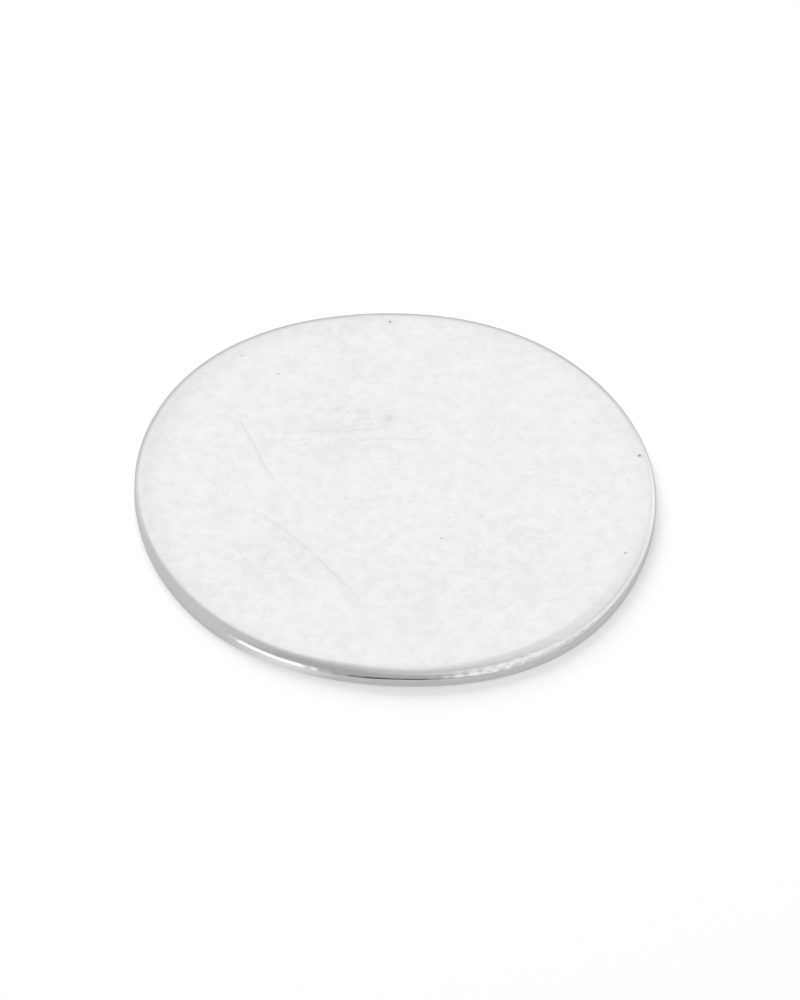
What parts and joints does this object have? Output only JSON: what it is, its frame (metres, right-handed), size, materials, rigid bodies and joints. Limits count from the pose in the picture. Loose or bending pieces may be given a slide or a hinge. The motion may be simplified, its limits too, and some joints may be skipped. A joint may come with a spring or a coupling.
{
  "type": "round metal disc blank",
  "caption": "Flat round silver blank with a rolled-over upper rim, a straight edge wall and a flat underside, for stamping, engraving or setting.",
  "frame": {"origin": "centre of the flat underside, which is what the blank rests on", "axes": "+Z along the disc's axis, from the underside to the top face with the rolled-over rim; +X and +Y are across the disc, and round stock has no preferred direction between them"},
  "size_m": [0.0222, 0.0222, 0.0006],
  "materials": {
    "silver": "satin"
  },
  "bodies": {
    "root": {"disc_blank": "silver"}
  },
  "joints": []
}
